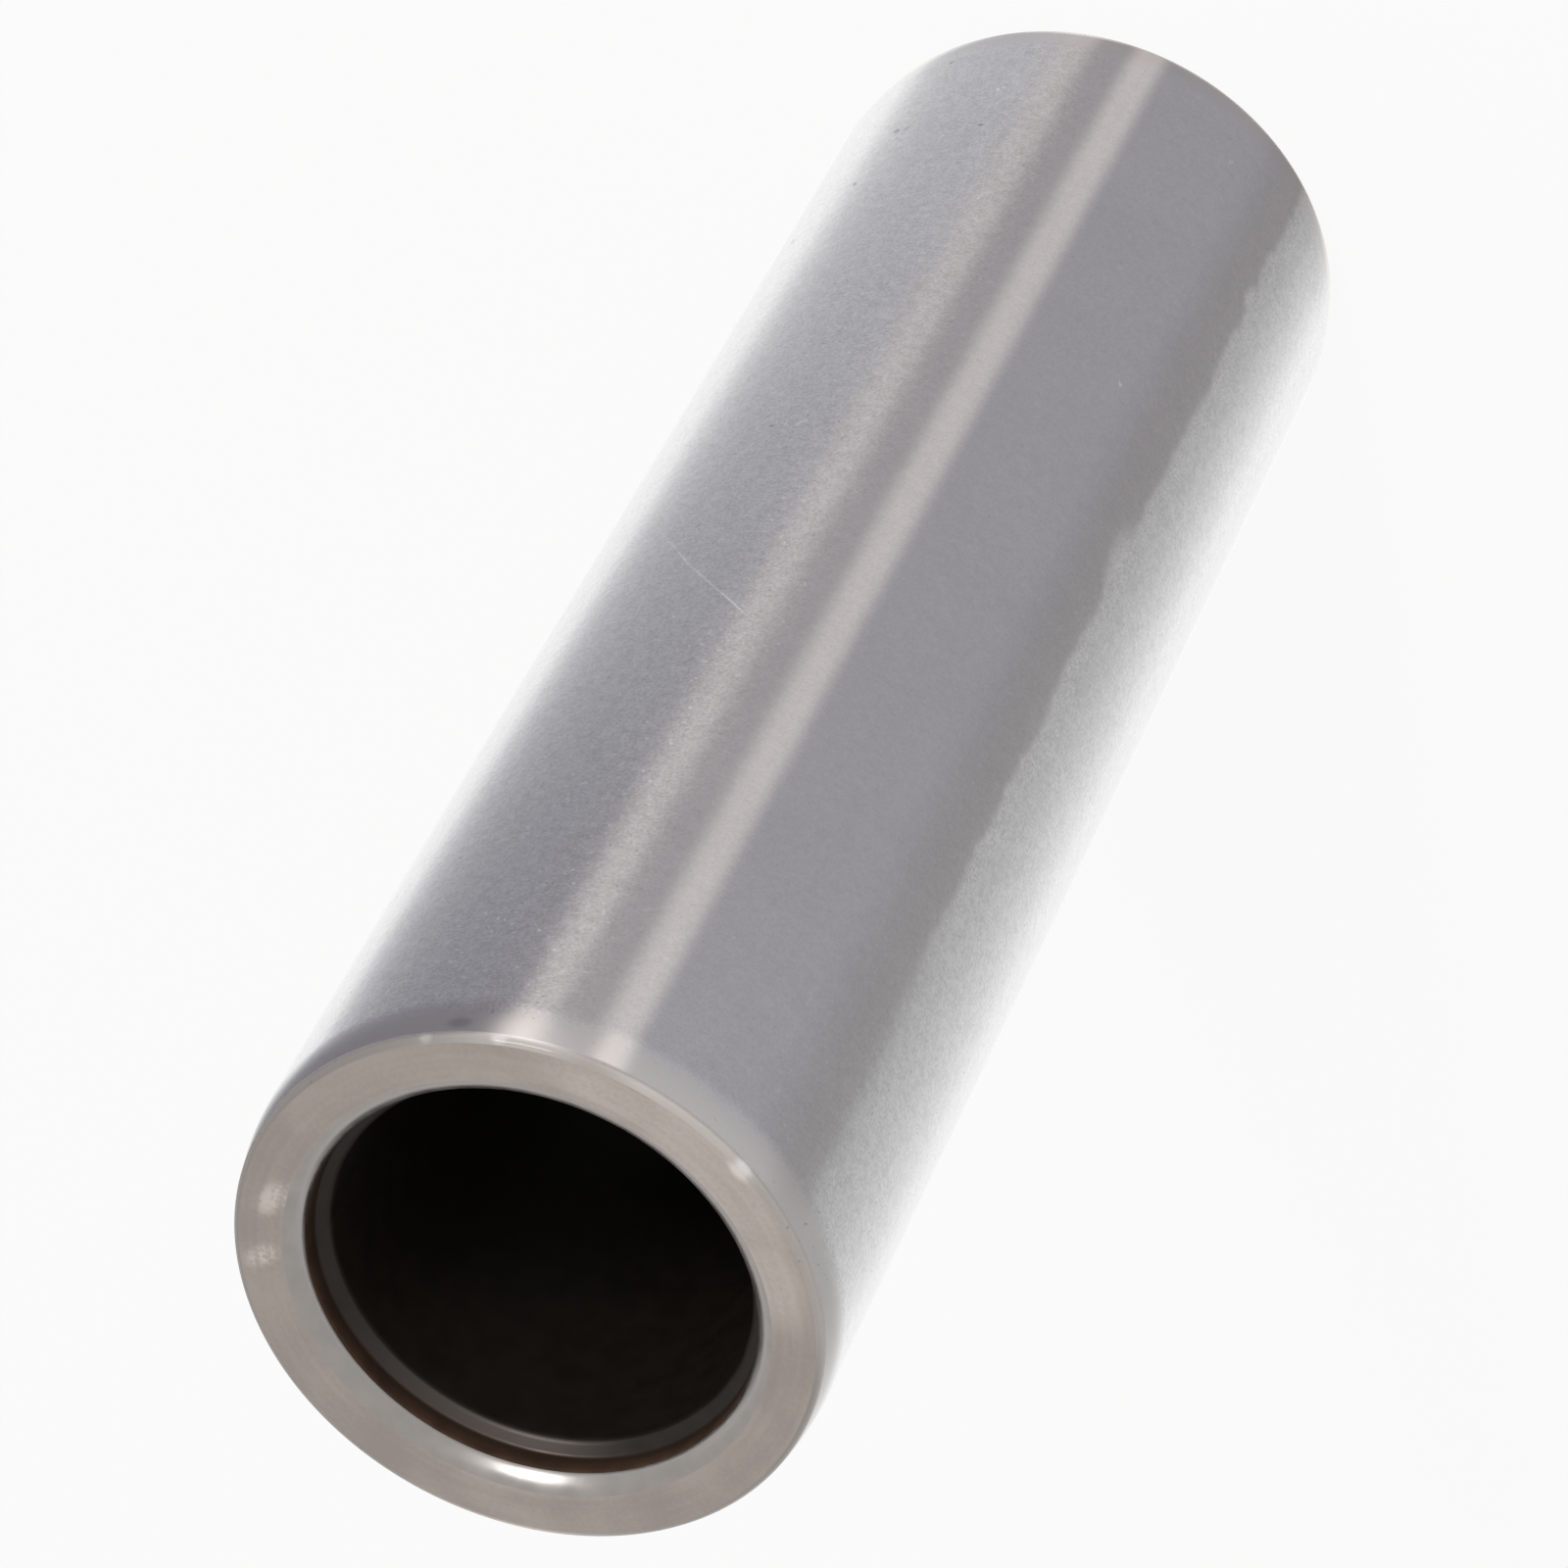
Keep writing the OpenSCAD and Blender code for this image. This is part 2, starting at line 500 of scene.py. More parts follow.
def ground_steel(finish, sizes):
    """Cylindrically ground outside: fine lines round the axis, a fine grain with painted sparkle, clouds
    and handling marks, nicks with painted glints, a stretch of the corner painted paler as lit, and a
    painted reflection edge.
    """
    material, tree, shader = new_steel("ground steel")
    lay_round_axis(tree, shader, anisotropy=1.0)
    turn, _, height = round_axis(tree)
    depth = depth_from_end(tree, height)
    arc = times(tree, turn, math.radians(sizes.outside_radius / MM))
    unrolled = add_node(tree, "ShaderNodeCombineXYZ", {"X": arc, "Y": height}).outputs[0]

    lines = lay_lines(tree, height, LINE_FINENESS, LINE_LENGTH)
    grain = even_noise(tree, GRAIN_FINENESS, detail=3.0)
    clouds = even_noise(tree, CLOUD_FINENESS)
    flecks = even_noise(tree, FLECK_FINENESS, detail=0.0)
    broken = ease(tree, grain, *GRAIN_BREAKS)
    # Painted sparkle: the grain's speckle and flecks are weaker in the shaded band that faces the camera
    off_band = combine(tree, "ABSOLUTE", combine(tree, "SUBTRACT", turn, SHADED_BAND), 0)
    sparkle_share = ease(tree, off_band, *GRAIN_EDGE, BAND_GRAIN, 1.0)

    taper = sizes.lead_in_length / MM
    tapered = ease(tree, depth, *(share * taper for share in TAPER_FADE))
    reach = sizes.corner_reach / MM
    corner = ease(tree, depth, *(share * reach for share in CORNER_FADE))
    lit_corner = lit_corner_stretch(tree, turn, corner)
    off_taper = ease(tree, depth, taper, 2 * taper)
    bright = times(tree, ease(tree, flecks, *BRIGHT_FLECKS), sparkle_share, off_taper)
    few = times(tree, ease(tree, flecks, *DARK_FLECKS), sparkle_share)
    pale = pale_marks(tree, unrolled, broken, bright)
    nick_glints = nick_glint_marks(tree, unrolled)
    dark = times(tree, dark_marks(tree, unrolled, few), DARK_STRENGTH)
    patchy = weighted(tree, (broken, REFLECTION_BROKEN), (1.0, 1 - REFLECTION_BROKEN))
    # Painted reflection edge, broken up by the grain
    painted_reflection = times(tree, painted_reflection_edge(tree, turn, height, unrolled, grain), patchy)

    tinted = ground_tone(tree, finish.ground, sparkle_share, grain, lines, clouds)
    tinted = blend_colour(tree, tapered, tinted, shade(finish.lead_in))
    tinted = blend_colour(tree, corner, tinted, shade(finish.corner))
    # Painted light: one stretch of the corner made paler
    tinted = blend_colour(tree, lit_corner, tinted, shade(finish.corner, LIT_CORNER_LIGHT))
    tinted = blend_colour(tree, dark, tinted, shade(finish.ground, DARK_SHADE))
    tinted = blend_colour(tree, nick_glints, tinted, shade(finish.lead_in, NICK_GLINT_LIGHT))
    tree.links.new(tinted, shader.inputs["Base Color"])
    metal = weighted(tree, (pale, -PALE_DULL), (painted_reflection, -REFLECTION_DULL), (nick_glints, -NICK_GLINT_DULL),
                     (lit_corner, -LIT_CORNER_DULL), (1.0, 1.0))
    tree.links.new(most(tree, metal, 0.0), shader.inputs["Metallic"])
    gloss = weighted(tree, (clouds, CLOUD_ROUGH), (pale, PALE_ROUGH), (painted_reflection, REFLECTION_ROUGH),
                     (tapered, TAPER_ROUGH), (corner, CORNER_ROUGH), (1.0, GROUND_ROUGH))
    tree.links.new(gloss, shader.inputs["Roughness"])
    shader.inputs["Coat Weight"].default_value = COAT_WEIGHT
    shader.inputs["Coat Roughness"].default_value = COAT_ROUGHNESS
    bump(tree, shader, weighted(tree, (grain, GRAIN_RELIEF), (lines, LINE_RELIEF)), GRAIN_DEPTH)
    return material


# End faces

# Rings of the tool with their length, and features of the noises, to the millimetre
RING_FINENESS, RING_LENGTH = 7.0, 3.0
FACE_GRAIN, FACE_CLOUDS = 12, 0.8
RING_SHARE = 0.6
FACE_TONES, FACE_SHADES = (0.34, 0.66), (0.90, 1.10)
FACE_ROUGH = (0.38, 0.46)
FACE_RELIEF = 1.5e-6
# Heights between which the marks of the upper end set in, and values that part the streaks in its patches
# of painted light and smudges
UPPER_END = (1.0, 2.0)
STREAKS = (0.42, 0.58)
# Patches of painted light, and smeared patches, on the upper end face as (x, y) in millimetres, half sizes
# and lean
LIT_PATCHES = (
    ((-1.65, -4.10), (2.9, 1.1), -22),
    ((-3.30, -2.70), (1.3, 0.7), -50),
    ((0.25, -4.44), (1.4, 0.6), 4),
)
SMEARED = (
    ((4.22, 0.78), (0.55, 0.30), 78),
    ((3.96, 1.97), (0.45, 0.26), 62),
)
# A knock on its outer edge, whose glint is painted as a pale, dull spot
KNOCK_GLINTS = (((-2.01, -4.36), (0.32, 0.20), -25),)
# How strong the patches are in and between their streaks, and how pale the patches and the knock's painted
# glint are
LIT_STREAKS, LIT_GROUND = 0.15, 0.48
SMEARED_STREAKS, SMEARED_GROUND = 0.7, 0.3
LIT_AND_SMEARED_LIGHT, KNOCK_GLINT_LIGHT = 1.58, 1.6
KNOCK_GLINT_DULL = 0.8


def turned_steel(finish):
    """Turned end face: rings of the tool, a fine grain, streaky patches of painted light, smeared patches
    and a knock with a painted glint.
    """
    colour = finish.turned
    material, tree, shader = new_steel("turned steel")
    lay_round_axis(tree, shader, anisotropy=0.6)
    _, radius, height = round_axis(tree)
    flat = millimetres(tree, (1, 1, 0))
    rings = lay_lines(tree, radius, RING_FINENESS, RING_LENGTH)
    grain = even_noise(tree, FACE_GRAIN)
    clouds = even_noise(tree, FACE_CLOUDS, detail=3.0)
    fine = weighted(tree, (rings, RING_SHARE), (grain, 1 - RING_SHARE))
    tone = ease(tree, weighted(tree, (fine, 0.5), (clouds, 0.5)), *FACE_TONES)
    tinted = blend_colour(tree, tone, *(shade(colour, share) for share in FACE_SHADES))

    upper = ease(tree, height, *UPPER_END)
    streaks = ease(tree, fine, *STREAKS)
    # Painted light: streaky paler patches on one side of the upper end face
    light_streaking = weighted(tree, (streaks, LIT_STREAKS), (1.0, LIT_GROUND))
    smearing = weighted(tree, (streaks, SMEARED_STREAKS), (1.0, SMEARED_GROUND))
    painted_light = times(tree, marks(tree, flat, LIT_PATCHES), light_streaking)
    smeared = times(tree, marks(tree, flat, SMEARED), smearing)
    # Painted light and smeared patches together, on the upper end only
    pale = times(tree, most(tree, painted_light, smeared), upper)
    # Painted glint of the knock
    knock_glints = times(tree, marks(tree, flat, KNOCK_GLINTS), upper)
    tinted = blend_colour(tree, pale, tinted, shade(colour, LIT_AND_SMEARED_LIGHT))
    tinted = blend_colour(tree, knock_glints, tinted, shade(colour, KNOCK_GLINT_LIGHT))
    tree.links.new(tinted, shader.inputs["Base Color"])
    tree.links.new(weighted(tree, (knock_glints, -KNOCK_GLINT_DULL), (1.0, 1.0)), shader.inputs["Metallic"])
    tree.links.new(ease(tree, clouds, *NOISE_RANGE, *FACE_ROUGH), shader.inputs["Roughness"])
    bump(tree, shader, fine, FACE_RELIEF)
    return material


# Mouths of the bore

DENT_FINENESS = 2
DENT_SHADES, DENT_ROUGH = (0.95, 1.05), (0.29, 0.35)
DENT_RELIEF = 1.5e-6


def polished_steel(finish):
    """Tumbled chamfers at the mouths of the bore, with small dents."""
    material, tree, shader = new_steel("polished steel")
    lay_round_axis(tree, shader, anisotropy=0.5)
    dents = even_noise(tree, DENT_FINENESS, detail=3.0)
    shades = [shade(finish.polished, share) for share in DENT_SHADES]
    tinted = blend_colour(tree, ease(tree, dents, *NOISE_RANGE), *shades)
    tree.links.new(tinted, shader.inputs["Base Color"])
    tree.links.new(ease(tree, dents, *NOISE_RANGE, *DENT_ROUGH), shader.inputs["Roughness"])
    bump(tree, shader, dents, DENT_RELIEF)
    return material


# Scale in the bore

SCALE_FINENESS = 2.5
BROWN_SHADES, GREY_SHADES, BLACK_SHADES = (0.8, 1.2), (0.9, 1.1), (0.9, 1.1)
# The brown grows darker from this share of the counterbore's depth down to its foot
BROWN_FROM, BROWN_DEEP = 0.4, 0.5
# Angles between which a highlight is painted on the shoulder as paler scale, from either side, and how pale
# it gets
HIGHLIGHT_FROM_LEFT, HIGHLIGHT_FROM_RIGHT = (140, 112), (45, 100)
HIGHLIGHT_LIGHT = 2.45
# How far the colours run past the shoulder's edges: outwards and inwards, in millimetres
RUN_OUT, RUN_IN = 0.03, 0.02
# How softly the shoulder's gloss sets in and ends, in millimetres
STEP_SOFT = 0.03
SCALE_ROUGH, MOTTLE_ROUGH, STEP_ROUGH = 0.34, 0.3, -0.04
SCALE_METAL, STEP_METAL = 0.3, 0.4
SCALE_SPECULAR = 0.3
SCALE_RELIEF = 4.0e-6


def dark_scale(finish, sizes):
    """Heat-treatment scale: brown in the counterbore, grey on its shoulder with a painted highlight, and
    black down the bore.
    """
    material, tree, shader = new_steel("dark scale")
    turn, _, height = round_axis(tree)
    depth = depth_from_end(tree, height)
    top = sizes.counterbore_depth / MM
    foot = top + sizes.counterbore_step / math.tan(sizes.shoulder_angle / 2) / MM
    mottle = even_noise(tree, SCALE_FINENESS, detail=4.0)
    spread = ease(tree, mottle, *NOISE_RANGE)

    mouth = blend_colour(tree, spread, *(shade(finish.brown_scale, share) for share in BROWN_SHADES))
    deep = ease(tree, depth, BROWN_FROM * top, top)
    mouth = blend_colour(tree, deep, mouth, shade(finish.brown_scale, BROWN_DEEP))
    step = blend_colour(tree, spread, *(shade(finish.grey_scale, share) for share in GREY_SHADES))
    # Painted highlight on the shoulder
    shoulder_highlight = times(tree, ease(tree, turn, *HIGHLIGHT_FROM_LEFT), ease(tree, turn, *HIGHLIGHT_FROM_RIGHT))
    step = blend_colour(tree, shoulder_highlight, step, shade(finish.grey_scale, HIGHLIGHT_LIGHT))
    inner = blend_colour(tree, spread, *(shade(finish.black_scale, share) for share in BLACK_SHADES))
    tinted = blend_colour(tree, ease(tree, depth, top - RUN_OUT, top + RUN_IN), mouth, step)
    tinted = blend_colour(tree, ease(tree, depth, foot - RUN_IN, foot + RUN_OUT), tinted, inner)
    tree.links.new(tinted, shader.inputs["Base Color"])

    past_top = ease(tree, depth, top - STEP_SOFT, top)
    on_step = times(tree, past_top, ease(tree, depth, foot, foot - STEP_SOFT))
    rough = weighted(tree, (mottle, MOTTLE_ROUGH), (on_step, STEP_ROUGH), (1.0, SCALE_ROUGH))
    tree.links.new(rough, shader.inputs["Roughness"])
    metal = weighted(tree, (on_step, STEP_METAL), (1.0, SCALE_METAL))
    tree.links.new(metal, shader.inputs["Metallic"])
    shader.inputs["Specular IOR Level"].default_value = SCALE_SPECULAR
    bump(tree, shader, mottle, SCALE_RELIEF)
    return material


# The pin

ROUND_SEGMENTS = 6
MERGE_DISTANCE = 1e-7
# Places of the finishes among the pin's materials
GROUND, TURNED, POLISHED, SCALE = range(4)


def section_corners(sizes):
    """Corners of the wall's section as (radius, height, reach of its round), once round the metal."""
    top = FOOT.z + sizes.length
    face = sizes.outside_radius - sizes.lead_in_drop
    counterbore = sizes.bore_radius + sizes.counterbore_step
    mouth = counterbore + sizes.mouth_chamfer
    shoulder = sizes.counterbore_depth + sizes.counterbore_step / math.tan(sizes.shoulder_angle / 2)
    one_end = [
        (sizes.outside_radius, sizes.lead_in_length, sizes.lead_in_blend),
        (face, 0, sizes.corner_reach),
        (mouth, 0, sizes.mouth_blend),
        (counterbore, sizes.mouth_chamfer, sizes.edge_reach),
        (counterbore, sizes.counterbore_depth, sizes.edge_reach / 2),
        (sizes.bore_radius, shoulder, sizes.edge_reach),
    ]
    foot = [(radius, FOOT.z + depth, reach) for radius, depth, reach in one_end]
    head = [(radius, top - depth, reach) for radius, depth, reach in reversed(one_end)]
    return foot + head


def spin_section(sizes):
    """The pin as a bmesh: its section with rounded corners, spun once round the axis."""
    bm = bmesh.new()
    corners = section_corners(sizes)
    verts = [bm.verts.new((radius, 0, height)) for radius, height, _ in corners]
    for start, end in zip(verts, verts[1:] + verts[:1]):
        bm.edges.new((start, end))
    for vert, (_, _, reach) in zip(verts, corners):
        bmesh.ops.bevel(bm, geom=[vert], offset=reach, offset_type="OFFSET", segments=ROUND_SEGMENTS,
                        profile=0.5, affect="VERTICES", material=-1)
    bmesh.ops.spin(bm, geom=bm.verts[:] + bm.edges[:], cent=(0, 0, 0), axis=(0, 0, 1),
                   angle=2 * math.pi, steps=sizes.spin_steps, use_merge=True)
    bmesh.ops.remove_doubles(bm, verts=bm.verts[:], dist=MERGE_DISTANCE)
    bmesh.ops.recalc_face_normals(bm, faces=bm.faces[:])
    return bm


def finish_zone(face, sizes):
    """Which finish a face of the pin has."""
    centre = face.calc_center_median()
    radius = math.hypot(centre.x, centre.y)
    depth = min(centre.z - FOOT.z, FOOT.z + sizes.length - centre.z)
    counterbore = sizes.bore_radius + sizes.counterbore_step
    mouth = counterbore + sizes.mouth_chamfer
    if radius > sizes.outside_radius - sizes.lead_in_drop - sizes.corner_reach:
        return GROUND
    if radius > mouth + sizes.mouth_blend / 2:
        return TURNED
    if depth < sizes.mouth_chamfer and radius > counterbore:
        return POLISHED
    return SCALE


def keep_flats_flat(piece):
    """Weights the normals by face area, so that flats shade flat up to their rounded edges."""
    weighting = piece.modifiers.new("weighted normals", "WEIGHTED_NORMAL")
    weighting.mode = "FACE_AREA"
    seen = piece.evaluated_get(bpy.context.evaluated_depsgraph_get())
    plain = piece.data
    piece.data = bpy.data.meshes.new_from_object(seen)
    piece.modifiers.clear()
    bpy.data.meshes.remove(plain)
    piece.data.name = piece.name


class GUDGEON_OT_pin(bpy.types.Operator):
    """Spins the pin from its section and gives each surface its finish"""

    bl_idname = "gudgeon.pin"
    bl_label = "Gudgeon pin"

    def execute(self, context):
        sizes = context.scene.gudgeon_sizes
        finish = context.scene.gudgeon_finish
        bm = spin_section(sizes)
        for face in bm.faces:
            face.smooth = True
            face.material_index = finish_zone(face, sizes)
        pin = new_object("hollow_pin", bm)
        finishes = {
            GROUND: ground_steel(finish, sizes),
            TURNED: turned_steel(finish),
            POLISHED: polished_steel(finish),
            SCALE: dark_scale(finish, sizes),
        }
        for place in sorted(finishes):
            pin.data.materials.append(finishes[place])
        keep_flats_flat(pin)
        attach(pin, "root")
        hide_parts(NODE)
        return {"FINISHED"}


# The stage

# The card's angles are in degrees round the pin, from +X towards the camera's side, -Y, and name
# the line of the outside that mirrors that part of the card. 1 is white.
CARD_ANGLES = (0, 180)
CARD_STEPS = 360
# Its rows: the first one's distance out, the step of the even ones, and how fast the others grow
CARD_FIRST, CARD_ROW = -0.15 * MM, 2 * MM
CARD_ROWS, EVEN_ROWS, ROW_GROWTH = 37, 24, 1.35
CARD_LIFT = 0.01 * MM
# Tones of its left side, of the strips' ground, of its front and of the shade along its right edge
LEFT_TONE, STRIP_GROUND, FRONT_TONE, SHADE_TONE = 0.276, 0.340, 0.333, 0.283
# Angles between which each of these turns into the next
LEFT_TO_GROUND, GROUND_TO_FRONT, FRONT_TO_SHADE = (60.5, 67), (84, 88), (110, 121)
# Pale strips across it, which paint lamp streaks along the outside: middle, half width, softness of the
# edges and how much paler they are
STRIPS = ((66.8, 3.3, 2.2, 0.160), (82.4, 3.5, 2.1, 0.219))
STRIP_TINT = (1.0, 0.935, 0.86)
# Added to its greys, in full where they are black: on its left, at its front and in the shade
LEFT_TINT = (0.012, 0.005, 0.044)
GREY_TINT = (0.014, 0.0, 0.028)
SHADE_TINT = (0.022, 0.002, 0.006)
# Added to the strips' ground
GAP_TINT = (0.010, -0.004, -0.012)
# Angles between which the left tint, the front's tint and at last the shade's tint end
LEFT_TINT_ENDS, GREY_TINT_ENDS, SHADE_TINT_ENDS = (54, 62), (112, 126), (127, 132)
# Its left side fades out to white from this angle, and is paler and fades sooner near the pin's foot
LEFT_WHITE, LEFT_FADE = 18.6, 6.7
FOOT_LIGHT, FOOT_SHIFT, FOOT_REACH = 0.225, 8, 26 * MM
# Its right edge, the margin beyond it that turns white, how slowly it starts to, and how much sooner
# it is white near the pin's foot
RIGHT_EDGE, RIGHT_SOFT, MARGIN_TONE, RIGHT_WHITE = 130.5, 1.0, 0.43, 164
RIGHT_CURVE, RIGHT_SHIFT = 1.35, 11
# Past this distance the card paints a table, which the upper lead-in mirrors
TABLE_FROM, TABLE_TO = 31 * MM, 42 * MM
TABLE_LEFT, TABLE_RIGHT, TABLE_SHADE, TABLE_WHITE = 0.16, 0.50, 0.40, 0.9
# Angles between which each of these turns into the next
TABLE_TO_RIGHT, TABLE_TO_SHADE, TABLE_TO_WHITE = (61, 73), (114, 121), (138, 176)
# Pale strips on the painted table, which paint lamp streaks on the upper lead-in
TABLE_STRIPS = ((68.9, 3.0, 2.9, 0.49), (84.3, 2.6, 1.5, 0.40))
# Tone of the painted table behind the pin, and how many degrees it reaches towards the front
BACK_TONE, BACK_REACH = 0.52, 16


def smooth(value, start, end):
    """Smooth step of a number from 0 at start to 1 at end."""
    share = min(1, max(0, (value - start) / (end - start)))
    return share * share * (3 - 2 * share)


def strip_light(angle, strips):
    """How much paler the card is at an angle because of its strips."""
    return sum(gain * (1 - smooth(abs(angle - middle), half - soft, half + soft))
               for middle, half, soft, gain in strips)


def near_tone(angle, out):
    """Tone of the card beside the pin, without its strips."""
    foot = 1 - min(1, max(0, out) / FOOT_REACH)
    tone = LEFT_TONE + FOOT_LIGHT * foot
    tone += (STRIP_GROUND - tone) * smooth(angle, *LEFT_TO_GROUND)
    tone += (FRONT_TONE - tone) * smooth(angle, *GROUND_TO_FRONT)
    tone += (SHADE_TONE - tone) * smooth(angle, *FRONT_TO_SHADE)
    left_white = LEFT_WHITE + FOOT_SHIFT * foot
    tone += (1 - tone) * math.exp(-max(0, angle - left_white) / LEFT_FADE)
    to_white = (angle - RIGHT_EDGE) / (RIGHT_WHITE - RIGHT_SHIFT * foot - RIGHT_EDGE)
    margin = MARGIN_TONE + (1 - MARGIN_TONE) * min(1, max(0, to_white)) ** RIGHT_CURVE
    tone += (margin - tone) * smooth(angle, RIGHT_EDGE - RIGHT_SOFT, RIGHT_EDGE + RIGHT_SOFT)
    return tone


def table_tone(angle):
    """Tone of the card further out, where it paints a table."""
    tone = TABLE_LEFT + (TABLE_RIGHT - TABLE_LEFT) * smooth(angle, *TABLE_TO_RIGHT)
    tone += (TABLE_SHADE - tone) * smooth(angle, *TABLE_TO_SHADE)
    tone += (TABLE_WHITE - tone) * smooth(angle, *TABLE_TO_WHITE)
    from_back = min(angle, 180 - angle)
    return tone + (BACK_TONE - tone) * smooth(from_back, BACK_REACH, 0)


def card_colour(angle, out):
    """Colour of the card at an angle and a distance out from the pin, with its warm strips."""
    far = smooth(out, TABLE_FROM, TABLE_TO)
    near = near_tone(angle, out)
    ground = near + (table_tone(angle) - near) * far
    warmth = strip_light(angle, STRIPS) * (1 - far) + strip_light(angle, TABLE_STRIPS) * far
    between = smooth(angle, *LEFT_TO_GROUND) * (1 - smooth(angle, *GROUND_TO_FRONT))
    past_left = smooth(angle, *LEFT_TINT_ENDS)
    shaded = smooth(angle, *GREY_TINT_ENDS)
    grey = (1 - ground) * (1 - smooth(angle, *SHADE_TINT_ENDS))
    colour = []
    for strip, left, front, edge, gap in zip(STRIP_TINT, LEFT_TINT, GREY_TINT, SHADE_TINT, GAP_TINT):
        tint = left + (front - left) * past_left
        tint += (edge - tint) * shaded
        colour.append(ground + warmth * strip + grey * tint + gap * between)
    return colour


def card_point(angle, out, radius):
    """Where a level line of sight that meets the pin at that angle runs to after its reflection."""
    at = math.radians(-angle)
    away = Vector((-math.sin(2 * at), math.cos(2 * at), 0))
    return Vector((radius * math.cos(at), radius * math.sin(at), 0)) + out * away


def build_reflection_card(sizes):
    """Card on the floor round the front of the pin that glows with its own tones and only the metal sees:
    it paints the reflections on the outside.
    """
    bm = bmesh.new()
    tone_layer = bm.verts.layers.float_color.new("tone")
    bmesh.ops.create_grid(bm, x_segments=CARD_STEPS, y_segments=CARD_ROWS, size=0.5)
    first, last = CARD_ANGLES
    # The grid reaches from -0.5 to 0.5 both ways
    for vert in bm.verts:
        angle = first + (vert.co.x + 0.5) * (last - first)
        row = round((vert.co.y + 0.5) * CARD_ROWS)
        even = min(row, EVEN_ROWS)
        out = CARD_FIRST + CARD_ROW * even * ROW_GROWTH ** (row - even)
        vert[tone_layer] = (*card_colour(angle, out), 1)
        vert.co = card_point(angle, out, sizes.outside_radius)
        vert.co.z = FOOT.z + CARD_LIFT
    card = new_object("reflection_card", bm)
    material = bpy.data.materials.new("reflection card")
    tree = bare_tree(material)
    tone = add_node(tree, "ShaderNodeAttribute", attribute_name="tone")
    glow = add_node(tree, "ShaderNodeEmission", {"Color": tone.outputs["Color"]})
    add_node(tree, "ShaderNodeOutputMaterial", {"Surface": glow.outputs["Emission"]})
    card.data.materials.append(material)
    card.visible_camera = False
    card.visible_diffuse = False
    card.visible_shadow = False
    card.visible_transmission = False


# How far the floor lies below the pin's foot, so that no two faces share a plane
FLOOR_DROP = 0.02 * MM
FLOOR_PAINT = (0.95, 0.95, 0.95, 1)
# How much of the floor is plain white for the camera and for the metal; the rest is lit and shadowed
CAMERA_WHITE, MIRROR_WHITE = 0.90, 0.96
# Sines of the elevations between which the white horizon turns into the grey room
HORIZON = (0.10, 0.22)
HORIZON_WHITE = (0.955, 0.955, 0.955, 1)
SENSOR_WIDTH = 36
CLIP_START = 10 * MM


def build_floor(stage):
    """Plain white floor that keeps a light shadow of the pin."""
    bm = bmesh.new()
    bmesh.ops.create_grid(bm, x_segments=1, y_segments=1, size=stage.floor_size)
    bmesh.ops.translate(bm, verts=bm.verts[:], vec=(0, 0, FOOT.z - FLOOR_DROP))
    floor = new_object("floor", bm)
    material = bpy.data.materials.new("white floor")
    tree = bare_tree(material)
    rays = add_node(tree, "ShaderNodeLightPath").outputs
    mirrored = times(tree, most(tree, rays["Is Glossy Ray"], rays["Is Transmission Ray"]), MIRROR_WHITE)
    share = most(tree, mirrored, times(tree, rays["Is Camera Ray"], CAMERA_WHITE))
    paint = add_node(tree, "ShaderNodeBsdfDiffuse", {"Color": FLOOR_PAINT})
    white = add_node(tree, "ShaderNodeEmission", {"Color": (1, 1, 1, 1), "Strength": 1.0})
    mix = add_node(tree, "ShaderNodeMixShader", {0: share, 1: paint.outputs[0], 2: white.outputs[0]})
    add_node(tree, "ShaderNodeOutputMaterial", {"Surface": mix.outputs[0]})
    floor.data.materials.append(material)


def build_world(stage):
    """Grey room above a low white horizon."""
    world = bpy.data.worlds.new("studio")
    bpy.context.scene.world = world
    tree = bare_tree(world)
    look = add_node(tree, "ShaderNodeTexCoord")
    split = add_node(tree, "ShaderNodeSeparateXYZ", {"Vector": look.outputs["Generated"]})
    lift = ease(tree, split.outputs["Z"], *HORIZON)
    tone = blend_colour(tree, lift, HORIZON_WHITE, shade(stage.surroundings))
    room = add_node(tree, "ShaderNodeBackground", {"Color": tone, "Strength": 1.0})
    add_node(tree, "ShaderNodeOutputWorld", {"Surface": room.outputs[0]})


def direction(azimuth, elevation):
    """Unit vector towards an azimuth from +X and an elevation."""
    level = Vector((math.cos(azimuth), math.sin(azimuth), 0))
    return level * math.cos(elevation) + Vector((0, 0, math.sin(elevation)))


def add_lamp(stage):
    """Soft rectangular lamp that faces the pin."""
    data = bpy.data.lights.new("side lamp", "AREA")
    data.shape = "RECTANGLE"
    data.size = stage.lamp_width
    data.size_y = stage.lamp_height
    data.energy = stage.lamp_power
    lamp = bpy.data.objects.new("side lamp", data)
    toward = direction(stage.lamp_azimuth, stage.lamp_elevation)
    lamp.location = toward * stage.lamp_distance + Vector((0, 0, MIDDLE))
    lamp.rotation_mode = "QUATERNION"
    lamp.rotation_quaternion = toward.to_track_quat("Z", "Y")
    lamp.visible_camera = False
    bpy.context.scene.collection.objects.link(lamp)


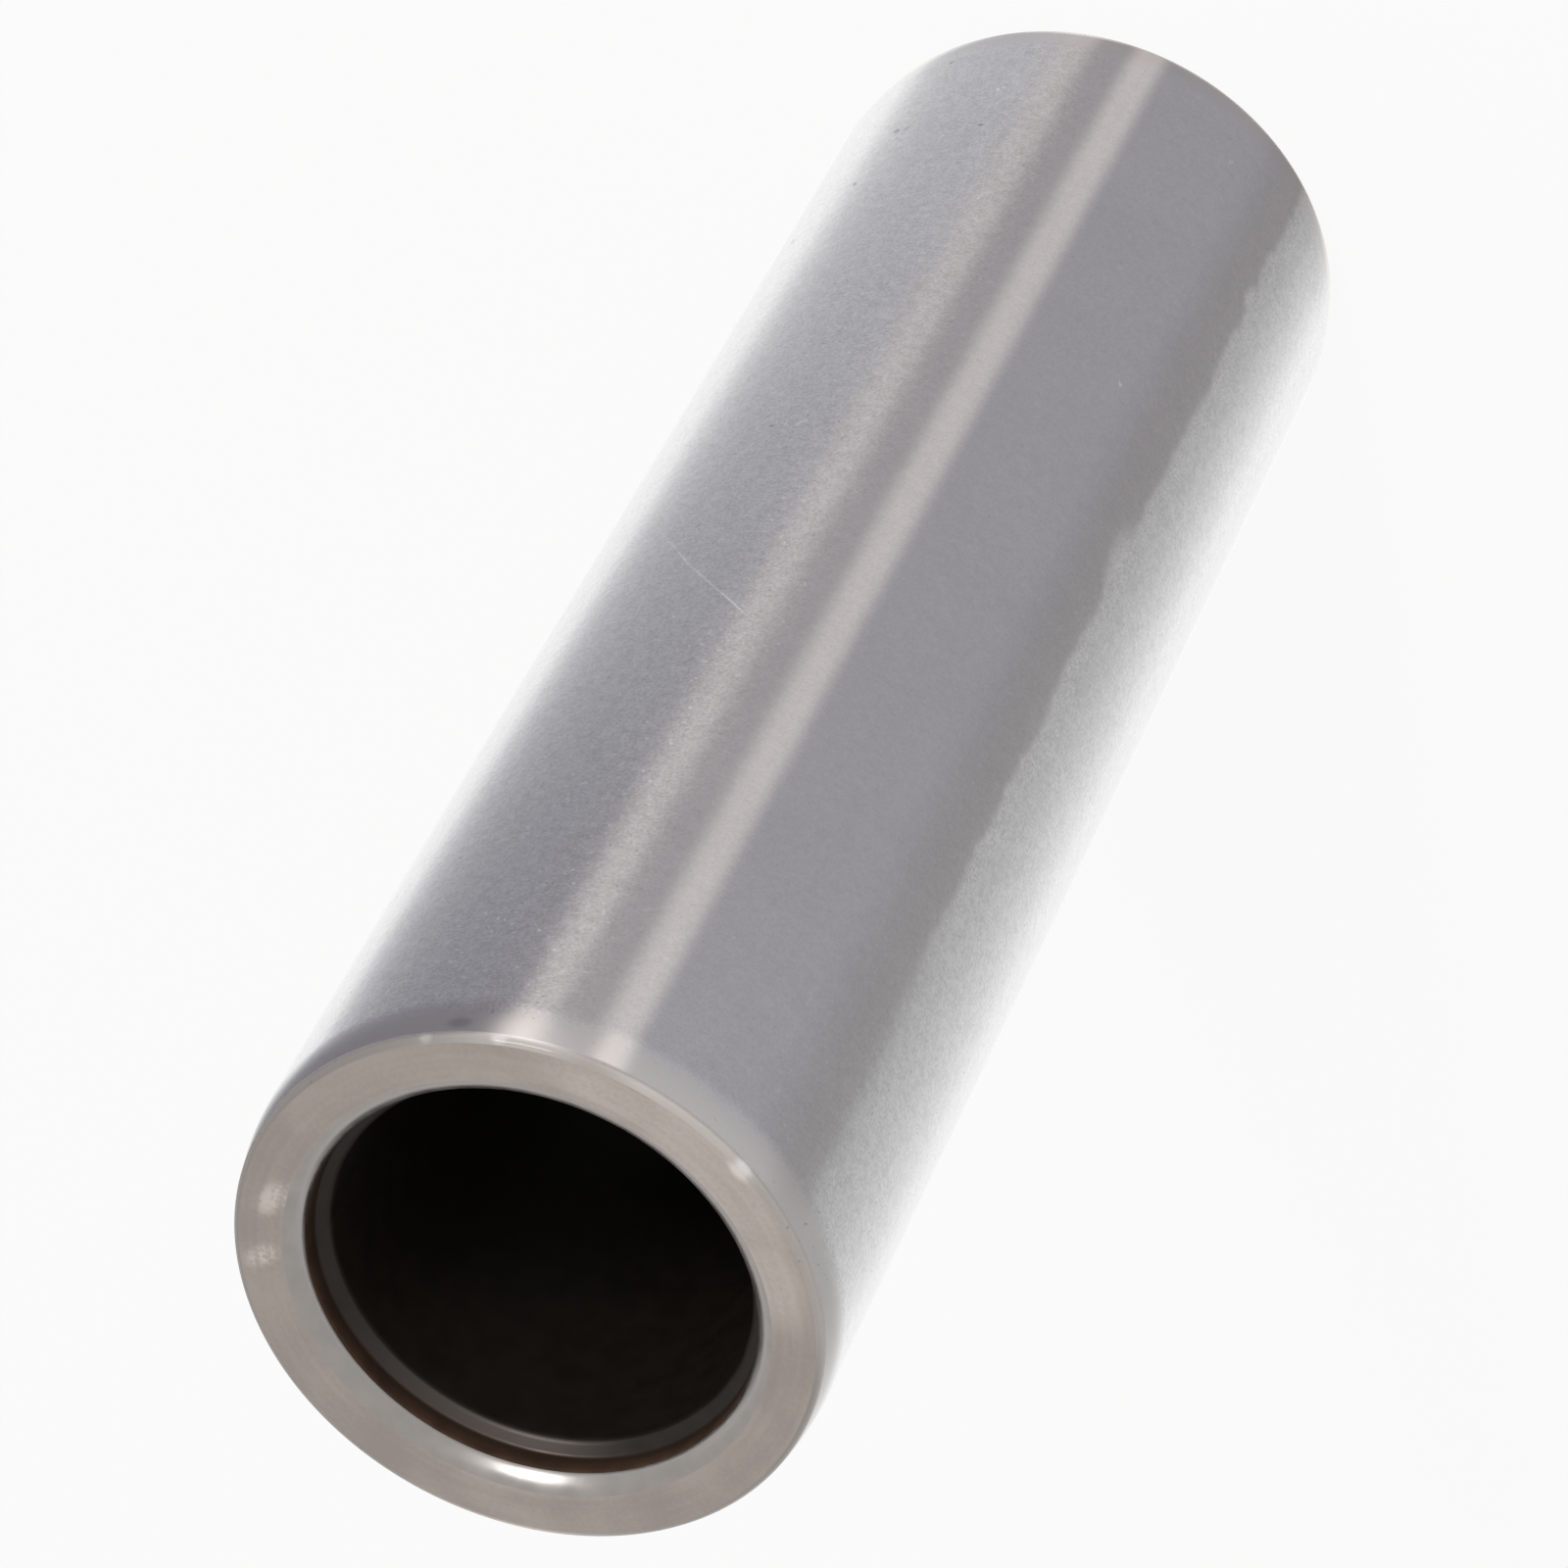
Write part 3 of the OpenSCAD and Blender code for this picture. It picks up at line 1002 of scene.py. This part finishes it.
def add_camera(stage):
    """Camera at the photograph's viewing angle."""
    data = bpy.data.cameras.new("camera")
    data.sensor_width = SENSOR_WIDTH
    data.lens = stage.lens
    data.clip_start = CLIP_START
    camera = bpy.data.objects.new("camera", data)
    back = direction(math.radians(-90), stage.elevation)
    level = back.to_track_quat("Z", "Y").to_matrix().to_4x4()
    turn = Matrix.Rotation(stage.roll, 4, "Z")
    place = Matrix.Translation(Vector(stage.aim) + back * stage.distance)
    camera.matrix_world = place @ level @ turn
    bpy.context.scene.collection.objects.link(camera)
    bpy.context.scene.camera = camera


class GUDGEON_OT_stage(bpy.types.Operator):
    """Lays the floor and the card, sets the room, the lamp and the camera"""

    bl_idname = "gudgeon.stage"
    bl_label = "Studio stage"

    def execute(self, context):
        stage = context.scene.gudgeon_stage
        build_floor(stage)
        build_reflection_card(context.scene.gudgeon_sizes)
        build_world(stage)
        add_lamp(stage)
        add_camera(stage)
        context.scene.view_settings.view_transform = "Standard"
        return {"FINISHED"}


class GUDGEON_PT_sidebar(bpy.types.Panel):
    """Sidebar panel with the pin's sizes, finishes and stage"""

    bl_idname = "GUDGEON_PT_sidebar"
    bl_label = "Gudgeon pin"
    bl_space_type = "VIEW_3D"
    bl_region_type = "UI"
    bl_category = "Gudgeon pin"

    def draw(self, context):
        groups = (context.scene.gudgeon_sizes, context.scene.gudgeon_finish, context.scene.gudgeon_stage)
        for group in groups:
            box = self.layout.box()
            for key in group.bl_rna.properties.keys():
                if key not in ("rna_type", "name"):
                    box.prop(group, key)
        self.layout.operator("gudgeon.pin")
        self.layout.operator("gudgeon.stage")


CLASSES = (PinSizes, PinFinish, StageSet, GUDGEON_OT_pin, GUDGEON_OT_stage, GUDGEON_PT_sidebar)


def register():
    for item in CLASSES:
        bpy.utils.register_class(item)
    bpy.types.Scene.gudgeon_sizes = bpy.props.PointerProperty(type=PinSizes)
    bpy.types.Scene.gudgeon_finish = bpy.props.PointerProperty(type=PinFinish)
    bpy.types.Scene.gudgeon_stage = bpy.props.PointerProperty(type=StageSet)


def unregister():
    del bpy.types.Scene.gudgeon_stage
    del bpy.types.Scene.gudgeon_finish
    del bpy.types.Scene.gudgeon_sizes
    for item in reversed(CLASSES):
        bpy.utils.unregister_class(item)


def main():
    register()
    bpy.ops.gudgeon.pin()
    bpy.ops.gudgeon.stage()


if __name__ == "__main__":
    main()
